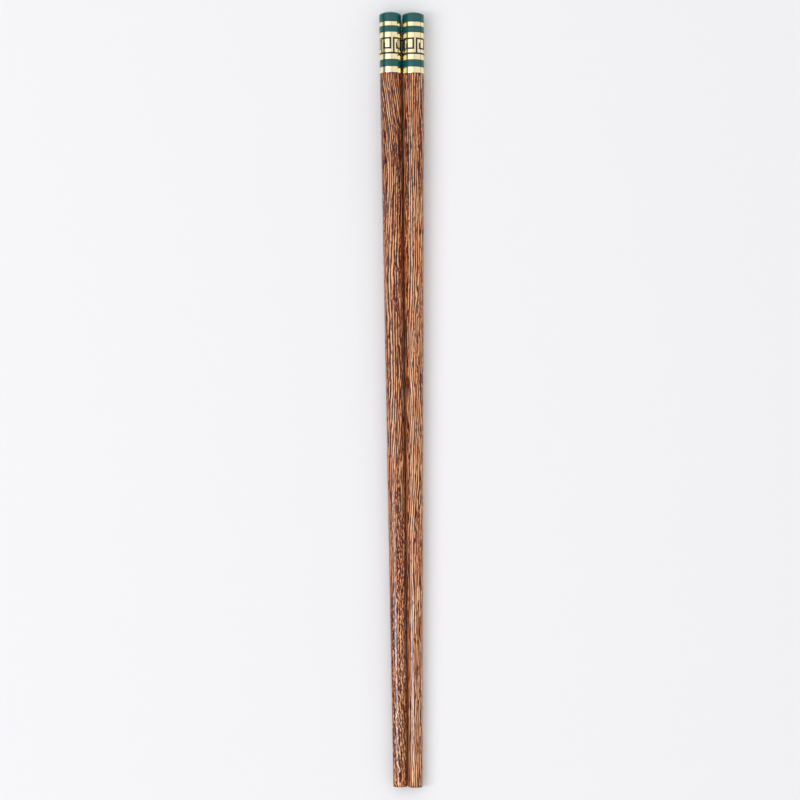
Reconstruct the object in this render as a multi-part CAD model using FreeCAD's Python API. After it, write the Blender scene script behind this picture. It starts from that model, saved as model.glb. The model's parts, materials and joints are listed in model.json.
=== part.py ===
"""A pair of turned wooden chopsticks with gold metal caps, lying side by side on a table.

Each stick has four pieces: a tapered wooden shank with a spigot at its thick end, a metal cap that is
closed at the crown and glued over the spigot, green enamel on the cap, and a printed key border on the
cap's wide gold band. A stick is first made upright in its own frame, with its axis on +Y, the tip's cut
face at Y 0 and the crown at the far end. It is then laid on the table, which is Z 0.

Row frame: +Y along the pair towards the caps, +Z up, origin under the middle of the pair.
"""

import FreeCAD
import Part
import math
import os

# Driving dimensions, in millimetres.
stick_length = 250.0  # from the tip's cut face to the crown
butt_diameter = 7.1  # of the wood at its shoulder, and of the cap over the enamel
tip_diameter = 4.6  # of the taper where it meets the tip's cut face
tip_round = 0.25  # rounding between the taper and the cut face
shoulder_chamfer = 0.1  # on the wood's edge beside the cap

cap_length = 20.2  # from the cap's mouth to the crown
cap_wall = 0.4  # metal round the spigot
cap_end_wall = 1.3  # metal at the middle of the closed end
crown_round = 0.6  # rounding of the crown's corner, over the enamel
crown_dome_radius = 7.0  # of the crown's dome, over the enamel

enamel_coat = 0.08  # thickness of the green enamel
mouth_band = 1.9  # bare gold beside the wood
lower_enamel = 2.4  # green band below the wide gold band
wide_band = 8.8  # bare gold that carries the key border
upper_enamel = 2.1  # green band above the wide gold band
crown_ring = 1.3  # bare gold ring under the green crown

glue_gap = 0.05  # round the spigot, filled with glue
spigot_end_gap = 0.5  # between the spigot and the closed end
spigot_chamfer = 0.4  # lead-in on the spigot's end

key_ink = 0.03  # thickness of the printed border
key_height = 5.4  # of the border along the stick
key_stroke = 0.56  # width of its lines
key_units = 5  # hooks of the border round the cap
key_rows = 3  # steps between its lines, along the stick
key_columns = 4  # steps between its lines in one hook, round the cap

gap_at_caps = 0.4  # between the two sticks at their crowns
gap_at_tips = 0.2  # between the two sticks at their tips
stagger = 0.2  # how much further the right stick reaches towards the tips

# Sizes that follow from them.
butt_radius = butt_diameter / 2
tip_radius = tip_diameter / 2
metal_radius = butt_radius - enamel_coat
bore_radius = metal_radius - cap_wall
spigot_radius = bore_radius - glue_gap

shoulder_y = stick_length - cap_length
lower_enamel_y = shoulder_y + mouth_band
wide_band_y = lower_enamel_y + lower_enamel
upper_enamel_y = wide_band_y + wide_band
crown_ring_y = upper_enamel_y + upper_enamel
crown_enamel_y = crown_ring_y + crown_ring
bore_end_y = stick_length - enamel_coat - cap_end_wall
spigot_end_y = bore_end_y - spigot_end_gap

taper_angle = math.degrees(math.atan((butt_radius - tip_radius) / shoulder_y))

X_AXIS = FreeCAD.Vector(1, 0, 0)
Y_AXIS = FreeCAD.Vector(0, 1, 0)
Z_AXIS = FreeCAD.Vector(0, 0, 1)
ORIGIN = FreeCAD.Vector(0, 0, 0)


def at(radius, y):
    """A point of a half section: its distance from the stick's axis, and its place along it."""
    return FreeCAD.Vector(radius, y, 0)


def lines(*points):
    """Straight edges from each point to the next."""
    return [Part.makeLine(a, b) for a, b in zip(points, points[1:])]


def arc(centre, radius, start_angle, end_angle):
    """An arc of a half section. Angles are in degrees from +X towards +Y."""
    points = []
    for angle in (start_angle, (start_angle + end_angle) / 2, end_angle):
        reach = FreeCAD.Vector(math.cos(math.radians(angle)), math.sin(math.radians(angle)), 0)
        points.append(centre + reach * radius)
    return Part.Arc(*points).toShape()


def turned(edges, sweep=360.0):
    """The solid that a closed half section sweeps out round the stick's axis."""
    section = Part.Face(Part.Wire(Part.__sortEdges__(edges)))
    return section.revolve(ORIGIN, Y_AXIS, sweep)


def crown_edges(coat):
    """The corner and the dome of the crown, as far inside the enamel's surface as coat says."""
    corner_x = butt_radius - crown_round
    dome_y = stick_length - crown_dome_radius
    reach = crown_dome_radius - crown_round
    corner_y = dome_y + math.sqrt(reach**2 - corner_x**2)
    meeting = math.degrees(math.acos(corner_x / reach))
    corner = arc(at(corner_x, corner_y), crown_round - coat, 0, meeting)
    dome = arc(at(0, dome_y), crown_dome_radius - coat, meeting, 90)
    return corner, dome


def ends(edge):
    """The first and last point of an edge, in the direction that it was drawn."""
    first, last = edge.ParameterRange
    return edge.valueAt(first), edge.valueAt(last)


def shank():
    """The wood: a long cone with a rounded cut tip, and the spigot that the cap is glued on."""
    slope = (butt_radius - tip_radius) / shoulder_y
    round_top = tip_round
    round_radius = tip_radius + slope * round_top
    flat_radius = round_radius - tip_round
    tip = arc(at(flat_radius, round_top), tip_round, -90, 0)
    outline = lines(
        at(round_radius, round_top),
        at(butt_radius - slope * shoulder_chamfer, shoulder_y - shoulder_chamfer),
        at(butt_radius - shoulder_chamfer, shoulder_y),
        at(spigot_radius, shoulder_y),
        at(spigot_radius, spigot_end_y - spigot_chamfer),
        at(spigot_radius - spigot_chamfer, spigot_end_y),
        at(0, spigot_end_y),
        at(0, 0),
        at(flat_radius, 0),
    )
    return turned(outline + [tip])


def cap():
    """The metal cap: a thin cup, with bare gold where it isn't enamelled."""
    corner, dome = crown_edges(enamel_coat)
    outline = lines(
        ends(dome)[1],
        at(0, bore_end_y),
        at(bore_radius, bore_end_y),
        at(bore_radius, shoulder_y),
        at(metal_radius, shoulder_y),
        ends(corner)[0],
    )
    return turned(outline + [corner, dome])


def enamel_band(start_y, width):
    """A ring of enamel round the cap."""
    outline = lines(
        at(metal_radius, start_y),
        at(butt_radius, start_y),
        at(butt_radius, start_y + width),
        at(metal_radius, start_y + width),
        at(metal_radius, start_y),
    )
    return turned(outline)


def crown_enamel():
    """The enamel over the crown and down to the ring of bare gold."""
    outer_corner, outer_dome = crown_edges(0)
    inner_corner, inner_dome = crown_edges(enamel_coat)
    sides = lines(
        ends(inner_corner)[0],
        at(metal_radius, crown_enamel_y),
        at(butt_radius, crown_enamel_y),
        ends(outer_corner)[0],
    )
    middle = lines(ends(outer_dome)[1], ends(inner_dome)[1])
    return turned(sides + middle + [outer_corner, outer_dome, inner_corner, inner_dome])


def enamel():
    """All the green on one cap: two bands and the crown, each a solid of its own."""
    return Part.makeCompound(
        [
            enamel_band(lower_enamel_y, lower_enamel),
            enamel_band(upper_enamel_y, upper_enamel),
            crown_enamel(),
        ]
    )


def key_border():
    """The printed border: a running key whose hooks stand on one line round the cap."""
    row_step = (key_height - key_stroke) / key_rows
    column_step = 360.0 / (key_units * key_columns)
    half_stroke_angle = math.degrees(key_stroke / 2 / metal_radius)
    first_row_y = wide_band_y + (wide_band - key_height) / 2

    def bar(column, end_column, row, end_row):
        """A line of the border between two crossings of its grid, with square ends."""
        start_y = first_row_y + row * row_step
        end_y = first_row_y + end_row * row_step + key_stroke
        outline = lines(
            at(metal_radius, start_y),
            at(metal_radius + key_ink, start_y),
            at(metal_radius + key_ink, end_y),
            at(metal_radius, end_y),
            at(metal_radius, start_y),
        )
        sweep = (end_column - column) * column_step + 2 * half_stroke_angle
        piece = turned(outline, min(sweep, 360.0))
        piece.rotate(ORIGIN, Y_AXIS, column * column_step - half_stroke_angle)
        return piece

    base_line = bar(0, key_units * key_columns, 0, 0)
    bars = []
    for unit in range(key_units):
        left = unit * key_columns
        right = left + key_columns - 1
        bars += [
            bar(left, left, 0, key_rows),
            bar(left, right, key_rows, key_rows),
            bar(right, right, 1, key_rows),
            bar(left + 1, right, 1, 1),
            bar(left + 1, left + 1, 1, key_rows - 1),
        ]
    return base_line.multiFuse(bars).removeSplitter()


def lay_down(piece, side):
    """Lays a piece of an upright stick on the table. side is -1 for the left stick and 1 for the right."""
    cap_x = butt_radius + gap_at_caps / 2
    tip_x = tip_radius + gap_at_tips / 2
    lean = math.degrees(math.asin((cap_x - tip_x) / stick_length))
    tip_y = -stick_length / 2 - side * stagger / 2
    tip_z = tip_radius * math.cos(math.radians(taper_angle))
    laid = piece.copy()
    laid.rotate(ORIGIN, X_AXIS, taper_angle)
    laid.rotate(ORIGIN, Z_AXIS, -side * lean)
    laid.translate(FreeCAD.Vector(side * tip_x, tip_y, tip_z))
    return laid


def main():
    """Writes one STEP file for each piece of each stick."""
    os.makedirs("parts", exist_ok=True)
    pieces = {
        "shank": shank(),
        "cap": cap(),
        "enamel": enamel(),
        "key_border": key_border(),
    }
    for stick, side in (("left", -1), ("right", 1)):
        for name, piece in pieces.items():
            lay_down(piece, side).exportStep(f"parts/{stick}_{name}.step")


main()
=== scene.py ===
"""A pair of wooden chopsticks with gold caps, lying side by side under soft light, seen from above.

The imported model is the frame. Each stick's own frame has its origin in the middle of the tip's cut
face, +Y along the stick to the crown, +X across it and +Z up, and is measured in millimetres.
"""

import json
import math

import bpy
import numpy as np
from mathutils import Matrix, Vector


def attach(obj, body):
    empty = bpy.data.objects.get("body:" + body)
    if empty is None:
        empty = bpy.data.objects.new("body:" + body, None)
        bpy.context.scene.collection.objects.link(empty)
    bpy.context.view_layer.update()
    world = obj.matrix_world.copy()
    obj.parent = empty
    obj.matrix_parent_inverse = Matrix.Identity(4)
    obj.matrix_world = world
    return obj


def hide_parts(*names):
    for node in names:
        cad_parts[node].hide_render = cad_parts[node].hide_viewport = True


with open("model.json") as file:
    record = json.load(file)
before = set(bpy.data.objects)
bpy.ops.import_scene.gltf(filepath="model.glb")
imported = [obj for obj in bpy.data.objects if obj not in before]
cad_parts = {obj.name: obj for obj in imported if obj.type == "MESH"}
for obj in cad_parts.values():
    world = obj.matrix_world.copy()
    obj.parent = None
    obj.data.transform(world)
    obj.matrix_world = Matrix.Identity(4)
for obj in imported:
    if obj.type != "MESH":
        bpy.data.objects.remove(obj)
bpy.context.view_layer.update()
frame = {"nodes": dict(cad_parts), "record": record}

MM = 0.001

# Sizes of a stick, in millimetres.
STICK_LENGTH = 250.0
BUTT_RADIUS = 3.55
TIP_RADIUS = 2.3
TIP_ROUND = 0.25
SHOULDER_CHAMFER = 0.1
SHOULDER_Y = 229.8
SPIGOT_RADIUS = 3.02
SPIGOT_END_Y = 248.12
SPIGOT_CHAMFER = 0.4
METAL_RADIUS = 3.47
BORE_RADIUS = 3.07
BORE_END_Y = 248.62
MOUTH_ROUND = 0.05
CROWN_ROUND = 0.6
CROWN_DOME_RADIUS = 7.0
ENAMEL_COAT = 0.08
ENAMEL_EDGE = 0.16  # how far in from its edge the enamel reaches its full thickness
ENAMEL_FLAT = 0.1  # from there to the next ring of points
LOWER_BAND = (231.7, 234.1)
UPPER_BAND = (242.9, 245.0)
CROWN_BAND_Y = 246.3

# Unevenness of a shank from sanding by hand, in millimetres.
ROLL_DEPTH = 0.006
RIPPLE_DEPTH = 0.002
WEAR_FADE = 3.0  # length over which it fades out at each end

# Points round a turned surface.
WOOD_SEGMENTS = 96
METAL_SEGMENTS = 192

# Share of each strip of a map that stays empty at an end and at a side.
END_MARGIN = 0.015
SIDE_MARGIN = 0.02


def axes(x, y, z):
    """The rotation matrix whose columns are three directions."""
    return Matrix((x, y, z)).transposed()


def stick_frame(side):
    """The matrix from a stick's own frame in millimetres to the row frame in metres."""
    mount = next(m for m in frame["record"]["mounts"] if m["name"] == side + "_tip")
    along = -Vector(mount["axis"]).normalized()
    across = along.cross(Vector((0, 0, 1))).normalized()
    turn = axes(across, along, across.cross(along)).to_4x4()
    return Matrix.Translation(Vector(mount["pos_m"])) @ turn @ Matrix.Scale(MM, 4)


# Meshes


def arc(centre_radius, centre_y, radius, start, end, steps):
    """Points of an arc in a half section. Angles are in degrees from outwards towards the crown."""
    angles = np.radians(np.linspace(start, end, steps + 1))
    return [(centre_radius + radius * math.cos(a), centre_y + radius * math.sin(a)) for a in angles]


def run(start, end, steps):
    """Evenly spaced points from start to end, without the end."""
    return [tuple(p) for p in np.linspace(start, end, steps, endpoint=False)]


def turned(profile, segments, closed=False, strips=1, wear=None):
    """Vertices, faces and map of a turned surface.

    profile is (radius, along) in millimetres, from one point of the axis to another, or a closed
    loop. wear gives how much a point lies inside the true form, from its place along and its angle.
    The map unrolls the surface into as many strips as told, side by side.
    """
    outline = np.array(profile, float)
    angles = np.arange(segments) * 2 * math.pi / segments
    verts = []
    rings = []
    for radius, y in outline:
        first = len(verts)
        if radius < 1e-9:
            verts.append((0.0, y, 0.0))
            rings.append([first] * segments)
            continue
        depth = wear(y, angles) if wear else 0.0
        rim = (radius - depth) * np.ones(segments)
        verts += list(zip(rim * np.cos(angles), np.full(segments, y), rim * np.sin(angles)))
        rings.append(list(range(first, first + segments)))
    if closed:
        rings.append(rings[0])
        outline = np.vstack((outline, outline[:1]))

    steps = np.diff(outline, axis=0)
    length = np.concatenate(([0], np.cumsum(np.hypot(steps[:, 0], steps[:, 1]))))
    reach = length[-1] / strips
    faces = []
    uvs = []
    for i, (ring, above) in enumerate(zip(rings, rings[1:])):
        strip = min(int((length[i] + length[i + 1]) / 2 / reach), strips - 1)
        low, high = (
            END_MARGIN + (1 - 2 * END_MARGIN) * (length[n] / reach - strip) for n in (i, i + 1)
        )
        for k in range(segments):
            j = (k + 1) % segments
            left, right = (
                (strip + SIDE_MARGIN + (1 - 2 * SIDE_MARGIN) * n / segments) / strips
                for n in (k, k + 1)
            )
            corners = [
                (ring[k], left, low),
                (above[k], left, high),
                (above[j], right, high),
                (ring[j], right, low),
            ]
            face = []
            for corner in corners:
                if corner[0] not in [c[0] for c in face]:
                    face.append(corner)
            faces.append([c[0] for c in face])
            uvs += [c[1:] for c in face]
    return verts, faces, uvs


def piece(name, matrix, parts, material, node, sharp=35):
    """A piece of a stick, made of turned parts, that stands for a node of the model.

    The parts' maps lie side by side. An edge between faces that meet at more than sharp, in
    degrees, stays sharp.
    """
    verts = []
    faces = []
    uvs = []
    for number, (part_verts, part_faces, part_uvs) in enumerate(parts):
        faces += [[v + len(verts) for v in face] for face in part_faces]
        verts += [matrix @ Vector(v) for v in part_verts]
        uvs += [((number + u) / len(parts), v) for u, v in part_uvs]
    mesh = bpy.data.meshes.new(name)
    mesh.from_pydata(verts, [], faces)
    layer = mesh.uv_layers.new(name="OFBake")
    layer.uv.foreach_set("vector", np.array(uvs, np.float32).ravel())
    mesh.validate()
    mesh.shade_smooth()
    mesh.set_sharp_from_angle(angle=math.radians(sharp))
    mesh.materials.append(material)
    obj = bpy.data.objects.new(name, mesh)
    bpy.context.collection.objects.link(obj)
    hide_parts(node)
    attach(obj, "root")


def hand_finish(phase):
    """How far a sanded shank lies inside its true cone, in millimetres, as a function of place."""

    def wear(y, angles):
        rolls = np.sin(y / 9.1 + 2 * angles + phase) + np.sin(y / 5.3 - 3 * angles + 2.1 * phase)
        ripples = np.sin(y / 2.3 + 4 * angles - phase)
        fade = min(1.0, y / WEAR_FADE, max(0.0, (SHOULDER_Y - y) / WEAR_FADE))
        return fade * (ROLL_DEPTH * (rolls + 2) / 2 + RIPPLE_DEPTH * (ripples + 1))

    return wear


def shank_parts(phase):
    """The wood: cut tip with a rounded edge, long cone, shoulder and spigot."""
    slope = (BUTT_RADIUS - TIP_RADIUS) / SHOULDER_Y
    round_radius = TIP_RADIUS + slope * TIP_ROUND
    flat_radius = round_radius - TIP_ROUND
    cone_end = (BUTT_RADIUS - slope * SHOULDER_CHAMFER, SHOULDER_Y - SHOULDER_CHAMFER)
    spigot_corner = (SPIGOT_RADIUS, SPIGOT_END_Y - SPIGOT_CHAMFER)
    profile = [
        (0, 0),
        *run((0.5, 0), (flat_radius, 0), steps=4),
        *arc(flat_radius, TIP_ROUND, TIP_ROUND, -90, 0, steps=6)[:-1],
        *run((round_radius, TIP_ROUND), cone_end, steps=460),
        cone_end,
        (BUTT_RADIUS - SHOULDER_CHAMFER, SHOULDER_Y),
        (SPIGOT_RADIUS, SHOULDER_Y),
        *run((SPIGOT_RADIUS, SHOULDER_Y + 1), spigot_corner, steps=18),
        spigot_corner,
        (SPIGOT_RADIUS - SPIGOT_CHAMFER, SPIGOT_END_Y),
        (0, SPIGOT_END_Y),
    ]
    return [turned(profile, WOOD_SEGMENTS, strips=4, wear=hand_finish(phase))]


def crown_points(coat, steps):
    """The corner and the dome of the crown, as far inside the enamel's surface as coat says."""
    corner_radius = BUTT_RADIUS - CROWN_ROUND
    dome_y = STICK_LENGTH - CROWN_DOME_RADIUS
    reach = CROWN_DOME_RADIUS - CROWN_ROUND
    corner_y = dome_y + math.sqrt(reach**2 - corner_radius**2)
    meeting = math.degrees(math.acos(corner_radius / reach))
    corner = arc(corner_radius, corner_y, CROWN_ROUND - coat, 0, meeting, steps)
    dome = arc(0, dome_y, CROWN_DOME_RADIUS - coat, meeting, 90, 2 * steps)
    return corner + dome[1:-1] + [(0, dome_y + CROWN_DOME_RADIUS - coat)]


def cap_parts():
    """The metal: a thin cup with a rounded mouth."""
    crown = crown_points(ENAMEL_COAT, steps=8)
    mouth_y = SHOULDER_Y + MOUTH_ROUND
    profile = [
        (0, BORE_END_Y),
        *run((BORE_RADIUS / 2, BORE_END_Y), (BORE_RADIUS, BORE_END_Y), steps=2),
        *run((BORE_RADIUS, BORE_END_Y), (BORE_RADIUS, SHOULDER_Y), steps=20),
        (BORE_RADIUS, SHOULDER_Y),
        *arc(METAL_RADIUS - MOUTH_ROUND, mouth_y, MOUTH_ROUND, -90, 0, steps=5)[:-1],
        *run((METAL_RADIUS, mouth_y), crown[0], steps=40),
        *crown,
    ]
    return [turned(profile, METAL_SEGMENTS, strips=2)]


def enamel_edge():
    """The soft edge of a coat of enamel, as (radius, distance in from the edge)."""
    return [
        (METAL_RADIUS + ENAMEL_COAT * math.sin(a), ENAMEL_EDGE * (1 - math.cos(a)))
        for a in np.linspace(0, math.pi / 2, 7)
    ]


def enamel_band(start, end):
    """A coat of enamel round the cap between two places, with a soft edge on both sides."""
    first_ring = (BUTT_RADIUS, start + ENAMEL_EDGE + ENAMEL_FLAT)
    last_ring = (BUTT_RADIUS, end - ENAMEL_EDGE - ENAMEL_FLAT)
    profile = [
        *((radius, start + inwards) for radius, inwards in enamel_edge()),
        *run(first_ring, last_ring, steps=8),
        *((radius, end - inwards) for radius, inwards in reversed(enamel_edge())),
    ]
    return turned(profile, METAL_SEGMENTS, closed=True)


def enamel_parts():
    """The green: two bands, and the coat over the crown."""
    outer = crown_points(0, steps=12)
    inner = crown_points(ENAMEL_COAT, steps=12)
    first_ring = (BUTT_RADIUS, CROWN_BAND_Y + ENAMEL_EDGE + ENAMEL_FLAT)
    profile = [
        *reversed(inner),
        *((radius, CROWN_BAND_Y + inwards) for radius, inwards in enamel_edge()),
        *run(first_ring, outer[0], steps=8),
        *outer,
    ]
    crown = turned(profile, METAL_SEGMENTS)
    return [enamel_band(*LOWER_BAND), enamel_band(*UPPER_BAND), crown]


# Materials


class Graph:
    """A material's nodes, made one by one.

    The methods take sockets or plain values. One that adds a node returns the socket that carries
    its result.
    """

    def __init__(self, name):
        self.material = bpy.data.materials.new(name)
        self.material.use_nodes = True
        self.nodes = self.material.node_tree.nodes
        self.links = self.material.node_tree.links
        self.shader = self.nodes["Principled BSDF"]

    def put(self, value, socket):
        """Links one socket to another, or sets a plain value on it."""
        if isinstance(value, bpy.types.NodeSocket):
            self.links.new(value, socket)
        else:
            socket.default_value = value

    def add(self, kind, inputs, output=0, **settings):
        """Adds a node. inputs are by name or number, and settings are the node's own."""
        node = self.nodes.new(kind)
        for key, value in settings.items():
            setattr(node, key, value)
        for key, value in inputs.items():
            self.put(value, node.inputs[key])
        return node.outputs[output]

    def math(self, operation, *values, clamp=False):
        """The result of an operation on up to three values."""
        inputs = dict(enumerate(values))
        return self.add("ShaderNodeMath", inputs, operation=operation, use_clamp=clamp)

    def scaled(self, vector, factors):
        """A vector with each part multiplied by its own factor."""
        return self.add("ShaderNodeVectorMath", {0: vector, 1: factors}, operation="MULTIPLY")

    def added(self, vector, offset):
        """A vector moved by an offset."""
        return self.add("ShaderNodeVectorMath", {0: vector, 1: offset}, operation="ADD")

    def part(self, vector, axis):
        """The X, Y or Z of a vector."""
        return self.add("ShaderNodeSeparateXYZ", {0: vector}, output=axis)

    def weighted(self, tone, pattern, weight):
        """Adds a pattern about 0.5 to a tone."""
        return self.math("MULTIPLY_ADD", self.math("SUBTRACT", pattern, 0.5), weight, tone)

    def between(self, a, b, share):
        """Goes from the value a to the value b as share goes from 0 to 1."""
        return self.math("MULTIPLY_ADD", self.math("SUBTRACT", b, a), share, a)

    def noise(self, vector, size, detail, output=0):
        """Noise whose lumps are about size, in the units of vector. About 0 to 1."""
        inputs = {
            "Vector": self.scaled(vector, tuple(1 / s for s in size)),
            "Scale": 1.0,
            "Detail": detail,
        }
        return self.add("ShaderNodeTexNoise", inputs, output=output)

    def cells(self, vector, size):
        """The distance to the middle of the nearest of many cells, which are about size."""
        inputs = {"Vector": self.scaled(vector, tuple(1 / s for s in size)), "Scale": 1.0}
        return self.add("ShaderNodeTexVoronoi", inputs, output="Distance")

    def ramp(self, value, low, high, to_low=0.0, to_high=1.0):
        """Maps low..high to to_low..to_high, smoothly and clamped."""
        inputs = {0: value, 1: low, 2: high, 3: to_low, 4: to_high}
        return self.add("ShaderNodeMapRange", inputs, interpolation_type="SMOOTHSTEP")

    def mix(self, factor, a, b, blend="MIX"):
        """Lays the colour b over the colour a."""
        inputs = {0: factor, 6: a, 7: b}
        return self.add("ShaderNodeMix", inputs, output=2, data_type="RGBA", blend_type=blend)

    def colours(self, value, stops):
        """A colour ramp. stops is (place, colour) from low to high."""
        node = self.nodes.new("ShaderNodeValToRGB")
        elements = node.color_ramp.elements
        while len(elements) < len(stops):
            elements.new(0.5)
        for element, (place, colour) in zip(elements, stops):
            element.position = place
            element.color = colour
        self.put(value, node.inputs[0])
        return node.outputs[0]

    def set(self, **inputs):
        """Sets inputs of the shader by name, with _ for a space. Returns the material."""
        for key, value in inputs.items():
            self.put(value, self.shader.inputs[key.replace("_", " ")])
        return self.material

    def bump(self, height, distance):
        """Gives the shader a bump. distance is in metres, for a height of 1."""
        result = self.add("ShaderNodeBump", {"Height": height, "Distance": distance})
        self.put(result, self.shader.inputs["Normal"])

    def place(self, matrix):
        """The place on the surface in a stick's own frame, in millimetres."""
        where, turn, size = matrix.decompose()
        inputs = {
            "Vector": self.add("ShaderNodeTexCoord", {}, output="Object"),
            "Location": where,
            "Rotation": turn.to_euler(),
            "Scale": size,
        }
        return self.add("ShaderNodeMapping", inputs, vector_type="TEXTURE")


def srgb(red, green, blue):
    """A colour written as 0..255 on screen, as linear values."""
    values = [c / 255 for c in (red, green, blue)]
    linear = [v / 12.92 if v <= 0.04045 else ((v + 0.055) / 1.055) ** 2.4 for v in values]
    return (*linear, 1.0)


def layers(g, spot, sideways, pitch, wander, lumps, offset):
    """Fine layers about pitch apart that run along the stick, broken into dashes. About 0 to 1.

    They wander by so many radians over the lumps of a noise. On top of the stick they are layers
    in X, and at its sides, where sideways is 1, in Z. offset sets two such patterns apart.
    """
    moved = g.added(spot, offset)
    wobble = g.math("MULTIPLY", g.noise(moved, lumps, detail=1.0), wander)
    waves = []
    for axis in "XZ":
        phase = g.math("MULTIPLY_ADD", g.part(moved, axis), 2 * math.pi / pitch, wobble)
        waves.append(g.math("SINE", phase))
    wave = g.between(*waves, sideways)
    dashes = g.noise(g.added(moved, (5.0, 5.0, 5.0)), (0.8, 4.5, 0.8), detail=0.0)
    strength = g.ramp(dashes, 0.35, 0.6, 0.26, 0.9)
    return g.math("MULTIPLY_ADD", wave, strength, 0.5)


def wood_colour(g, tone, bent, lean, along):
    """The wood's colour, from dark to light fibres by tone. bent is the place among the fibres.
    It has painted warm light on its left side and painted shade beside the cap.
    """
    colour = g.colours(tone, [
        (0.0, srgb(56, 13, 4)),
        (0.2, srgb(84, 29, 10)),
        (0.4, srgb(120, 54, 22)),
        (0.6, srgb(162, 93, 46)),
        (0.8, srgb(202, 136, 85)),
        (1.0, srgb(244, 182, 125)),
    ])

    # Rust-red streaks, and a redder left side, which is painted warm light bounced onto that side.
    rusty = g.noise(g.added(bent, (6.0, 2.0, 4.0)), (0.9, 16.0, 0.9), detail=0.0)
    rust = g.ramp(rusty, 0.45, 0.7, 0.0, 0.5)
    # Painted warm reflected light: the left side of each stick is made redder.
    painted_warm_bounce = g.ramp(lean, -0.4, -1.4, 0.0, 0.35)
    colour = g.mix(g.math("MAXIMUM", rust, painted_warm_bounce), colour, srgb(236, 142, 88), "MULTIPLY")

    # Grey streaks.
    ashen = g.noise(g.added(bent, (1.0, 7.0, 8.0)), (1.1, 20.0, 1.1), detail=0.0)
    ash = g.ramp(ashen, 0.45, 0.7, 0.0, 0.2)
    colour = g.mix(ash, colour, srgb(138, 112, 96))

    # Darker wood at the cut tip, and painted shade beside the cap, where the wood meets the metal.
    tip = g.ramp(along, 0.0, 1.2, 0.72, 1.0)
    # Painted shade: the wood darkens over the last 0.8 mm before the cap.
    shoulder = g.ramp(along, 229.0, SHOULDER_Y, 1.0, 0.75)
    wear_and_shade = g.math("MULTIPLY", tip, shoulder)
    grey = g.add("ShaderNodeCombineColor", {0: wear_and_shade, 1: wear_and_shade, 2: wear_and_shade})
    return g.mix(1.0, colour, grey, "MULTIPLY")


def wood(name, matrix, figure):
    """Dark figured hardwood under a satin lacquer."""
    g = Graph(name)
    here = g.place(matrix)
    along = g.part(here, "Y")
    spot = g.added(here, figure["shift"])

    # How far round to the side of the stick a place lies: 0 on top and below, 1 at the sides.
    height = g.math("MAXIMUM", g.math("ABSOLUTE", g.part(here, "Z")), 0.01)
    lean = g.math("DIVIDE", g.part(here, "X"), height)
    sideways = g.ramp(g.math("ABSOLUTE", lean), 0.9, 1.6)

    # Straight figure: layers of fibres that wander slowly. The wood is darker near the cap.
    drift = g.noise(spot, (30.0, 50.0, 30.0), detail=0.0, output="Color")
    bent = g.added(spot, g.scaled(drift, (8.0, 0.0, 8.0)))
    broad = g.noise(bent, (2.4, 60.0, 2.4), detail=1.0)
    shade = g.ramp(along, 172.0, 208.0, figure["lightness"], figure["lightness"] - 0.15)
    tone = g.weighted(shade, broad, weight=0.28)
    coarse = layers(
        g, bent, sideways, pitch=0.78, wander=11.0, lumps=(1.3, 8.0, 1.3), offset=(0.0, 0.0, 0.0)
    )
    fine = layers(
        g, bent, sideways, pitch=0.68, wander=6.0, lumps=(1.0, 6.0, 1.0), offset=(9.0, 5.0, 3.0)
    )
    straight = g.weighted(tone, coarse, figure["contrast"])
    straight = g.weighted(straight, fine, figure["contrast"])

    # Curly figure: the fibres ripple, and break up into short flecks.
    ripple = g.noise(spot, (2.4, 2.4, 2.4), detail=1.0, output="Color")
    curled = g.added(bent, g.scaled(ripple, (0.6, 0.0, 0.6)))
    worms = layers(
        g, curled, sideways, pitch=0.8, wander=9.0, lumps=(1.0, 2.0, 1.0), offset=(2.0, 6.0, 4.0)
    )
    flecks = g.ramp(g.cells(curled, (0.42, 1.1, 0.42)), 0.3, 0.55)
    curly = g.weighted(g.math("SUBTRACT", tone, 0.19), flecks, weight=0.65)
    curly = g.weighted(curly, worms, weight=1.0)

    # The curly figure takes a run of the stick, with a slanting border, and patches elsewhere.
    slanted = g.math("MULTIPLY_ADD", g.part(here, "X"), -8.0, along)
    zone = g.ramp(slanted, *figure["curly_run"])
    lumps = g.noise(g.added(spot, (3.0, 5.0, 9.0)), (5.0, 34.0, 5.0), detail=1.0)
    patches = g.ramp(lumps, 0.5, 0.66, 0.0, figure["patches"])
    lively = g.math("ADD", zone, patches, clamp=True)
    tone = g.between(straight, curly, lively)

    # Grit, and short open pores, filled dark.
    grit = g.noise(spot, (0.34, 1.2, 0.34), detail=0.0)
    tone = g.weighted(tone, grit, weight=1.05)
    pore = g.ramp(g.cells(bent, (0.6, 3.4, 0.6)), 0.1, 0.24, 1.0, 0.0)
    tone = g.math("MULTIPLY_ADD", pore, -0.35, tone)

    g.bump(g.math("SUBTRACT", fine, pore), distance=0.000006)
    return g.set(
        Base_Color=wood_colour(g, tone, bent, lean, along),
        Roughness=g.ramp(tone, 0.1, 0.8, 0.55, 0.4),
        Specular_IOR_Level=0.05,
        Coat_Weight=g.ramp(tone, 0.1, 0.55, 0.6, 1.0),
        Coat_Roughness=0.13,
        Coat_IOR=1.5,
    )


def gold(name, matrix):
    """Polished gold-coloured metal with faint turning lines."""
    g = Graph(name)
    spot = g.place(matrix)
    turning_inputs = {"W": g.part(spot, "Y"), "Scale": 9.0, "Detail": 3.0}
    turning = g.add("ShaderNodeTexNoise", turning_inputs, noise_dimensions="1D")
    haze = g.noise(spot, (1.2, 2.0, 1.2), detail=3.0)
    tarnish = g.ramp(haze, 0.45, 0.75, 0.0, 0.35)
    colour = g.mix(tarnish, srgb(255, 240, 192), srgb(255, 229, 158))
    roughness = g.math("MULTIPLY_ADD", haze, 0.08, g.math("MULTIPLY", turning, 0.08))
    g.bump(turning, distance=0.000004)
    return g.set(Base_Color=colour, Metallic=1.0, Roughness=roughness)


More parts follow.
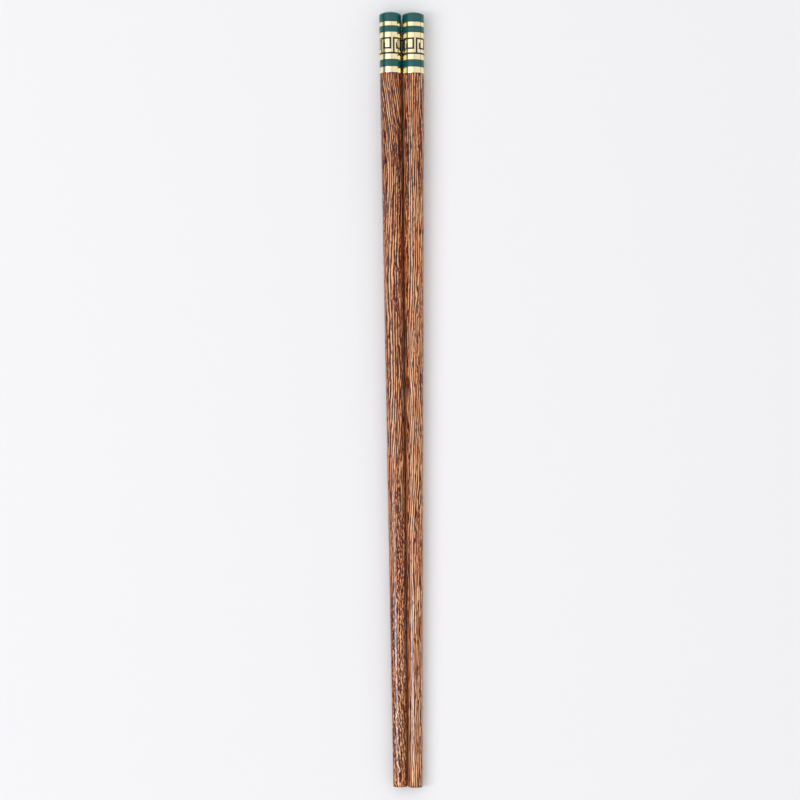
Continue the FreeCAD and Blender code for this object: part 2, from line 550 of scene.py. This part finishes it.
def enamel(name, matrix):
    """Glossy green enamel, with painted shade along the edges of its bands."""
    g = Graph(name)
    spot = g.place(matrix)
    along = g.part(spot, "Y")
    gaps = [
        g.math("ABSOLUTE", g.math("SUBTRACT", along, border))
        for border in (*LOWER_BAND, *UPPER_BAND, CROWN_BAND_Y)
    ]
    nearest = gaps[0]
    for gap in gaps[1:]:
        nearest = g.math("MINIMUM", nearest, gap)
    cloud = g.noise(spot, (1.1, 1.1, 1.1), detail=3.0)
    colour = g.mix(cloud, srgb(0, 80, 76), srgb(4, 88, 84))
    # Painted shade: a dark green line along each edge of the enamel.
    colour = g.mix(g.ramp(nearest, 0.08, 0.36, 0.75, 0.0), colour, srgb(2, 36, 34))
    g.bump(g.noise(spot, (0.9, 0.9, 0.9), detail=2.0), distance=0.000006)
    return g.set(Base_Color=colour, Roughness=g.ramp(cloud, 0.3, 0.7, 0.06, 0.12), IOR=1.5)


def ink(name, matrix):
    """Black print with a slight shine."""
    g = Graph(name)
    wear_and_shade = g.noise(g.place(matrix), (0.25, 0.25, 0.25), detail=3.0)
    colour = g.mix(g.ramp(wear_and_shade, 0.35, 0.75), srgb(8, 14, 18), srgb(26, 32, 34))
    g.bump(wear_and_shade, distance=0.000004)
    return g.set(Base_Color=colour, Roughness=g.ramp(wear_and_shade, 0.3, 0.7, 0.3, 0.45), IOR=1.5)


# Each stick's own wood. shift takes the figure from another place, curly_run is where along the
# stick the curly figure sets in and is full, and sanding is the phase of the hand finish.
FIGURES = {
    "left": {
        "shift": (41.0, 113.0, 17.0),
        "curly_run": (85.0, 50.0),
        "patches": 0.5,
        "lightness": 0.42,
        "contrast": 1.0,
        "sanding": 1.7,
    },
    "right": {
        "shift": (83.0, 29.0, 61.0),
        "curly_run": (-40.0, -80.0),
        "patches": 0.4,
        "lightness": 0.49,
        "contrast": 1.15,
        "sanding": 4.6,
    },
}

for side, figure in FIGURES.items():
    matrix = stick_frame(side)
    shank = shank_parts(figure["sanding"])
    figured = wood(f"{side}_wood", matrix, figure)
    piece(f"{side}_wooden_shank", matrix, shank, figured, f"{side}_shank")
    metal = gold(f"{side}_gold", matrix)
    piece(f"{side}_metal_cap", matrix, cap_parts(), metal, f"{side}_cap")
    green = enamel(f"{side}_enamel", matrix)
    bands = enamel_parts()
    piece(f"{side}_green_bands", matrix, bands, green, f"{side}_enamel", sharp=60)
    print_ink = ink(f"{side}_ink", matrix)
    for material_slot in frame["nodes"][f"{side}_key_border"].material_slots:
        material_slot.material = print_ink


# Camera: above the pair and a little nearer to the tips than to the caps.

CAMERA_AT = Vector((-0.00153, -0.0370, 0.807))
CAMERA_AIM = Vector((-0.00153, -0.00093, 0.003))
CAMERA_ROLL = math.radians(0.468)
LENS = 112.33

view = (CAMERA_AIM - CAMERA_AT).normalized()
rightwards = view.cross(Vector((math.sin(CAMERA_ROLL), math.cos(CAMERA_ROLL), 0))).normalized()
turn = axes(rightwards, rightwards.cross(view), -view).to_4x4()
camera = bpy.data.objects.new("camera", bpy.data.cameras.new("camera"))
camera.data.lens = LENS
camera.data.sensor_width = 36.0
camera.data.clip_start = 0.01
camera.data.clip_end = 50.0
camera.matrix_world = Matrix.Translation(CAMERA_AT) @ turn
bpy.context.collection.objects.link(camera)
bpy.context.scene.camera = camera


# Light and floor

SOFT_RANGE = (-2, 2)  # of the soft panels, along Y
STRIP_DISTANCE = 1.8
STRIP_COLOUR = (0.88, 0.9, 1.0)
CARD_DISTANCE = 1.65
CARD_HALF_LENGTH = 1.2
FLOOR_HALF = 8


def panel(name, left, right, y_range, radiance, colour=(1, 1, 1)):
    """A flat light between two lines along Y, which are at left and right, as (x, z)."""
    left = Vector(left)
    right = Vector(right)
    middle = (left + right) / 2
    span = right - left
    data = bpy.data.lights.new(name, "AREA")
    data.shape = "RECTANGLE"
    data.size = span.length
    data.size_y = y_range[1] - y_range[0]
    data.energy = radiance * math.pi * data.size * data.size_y
    data.color = colour
    across = Vector((span.x, 0, span.y)).normalized()
    along = Vector((0, 1, 0))
    light = bpy.data.objects.new(name, data)
    light.location = (middle.x, sum(y_range) / 2, middle.y)
    light.rotation_euler = axes(across, along, across.cross(along)).to_euler()
    light.visible_camera = False
    bpy.context.collection.objects.link(light)


def at_angle(degrees, distance):
    """A place (x, z) across the sticks, from its angle to the vertical, positive to the right."""
    angle = math.radians(degrees)
    return distance * math.sin(angle), distance * math.cos(angle)


def slab(name, corners, material):
    """A flat sheet of the studio, which isn't part of the object."""
    mesh = bpy.data.meshes.new(name)
    mesh.from_pydata(corners, [], [(0, 1, 2, 3)])
    mesh.materials.append(material)
    obj = bpy.data.objects.new(name, mesh)
    bpy.context.collection.objects.link(obj)
    return obj


# Three soft panels side by side light everything.
far_left = at_angle(-57, 1.6)
middle_left = at_angle(6, 0.9)
middle_right = at_angle(18, 0.95)
far_right = at_angle(83, 1.6)
panel("soft_left", far_left, middle_left, SOFT_RANGE, 0.76, (1.0, 1.0, 1.04))
panel("soft_right", middle_right, far_right, SOFT_RANGE, 0.61)
panel("soft_middle", middle_left, middle_right, SOFT_RANGE, 0.46)

# Three strips to the left give the streaks along the lacquer, the brightest nearest the tips.
for name, start, end, y_range, radiance in (
    ("strip_tips", -57, -23, (-0.334, -0.175), 11.0),
    ("strip_middle", -63, -22, (-0.175, 0.009), 3.6),
    ("strip_upper", -68, -14, (0.009, 0.377), 1.3),
):
    left = at_angle(start, STRIP_DISTANCE)
    right = at_angle(end, STRIP_DISTANCE)
    panel(name, left, right, y_range, radiance, STRIP_COLOUR)

world = bpy.data.worlds.new("world")
world.use_nodes = True
world.node_tree.nodes["Background"].inputs["Color"].default_value = (0.25, 0.25, 0.26, 1)
bpy.context.scene.world = world

floor_white = Graph("floor_white").set(
    Base_Color=(0.86, 0.855, 0.84, 1), Roughness=0.8, Specular_IOR_Level=0.2
)
floor_corners = [
    (-FLOOR_HALF, -FLOOR_HALF, 0),
    (FLOOR_HALF, -FLOOR_HALF, 0),
    (FLOOR_HALF, FLOOR_HALF, 0),
    (-FLOOR_HALF, FLOOR_HALF, 0),
]
slab("floor", floor_corners, floor_white)

# A dark card, low on the left, gives the caps their dark lines.
card_black = Graph("card_black").set(Base_Color=(0.3, 0.3, 0.26, 1), Roughness=0.9)
low_x, low_z = at_angle(-89, CARD_DISTANCE)
high_x, high_z = at_angle(-57.5, CARD_DISTANCE)
card_corners = [
    (low_x, -CARD_HALF_LENGTH, low_z),
    (high_x, -CARD_HALF_LENGTH, high_z),
    (high_x, CARD_HALF_LENGTH, high_z),
    (low_x, CARD_HALF_LENGTH, low_z),
]
card = slab("card", card_corners, card_black)
card.visible_camera = False

bpy.context.scene.view_settings.view_transform = "Standard"

bpy.context.view_layer.update()
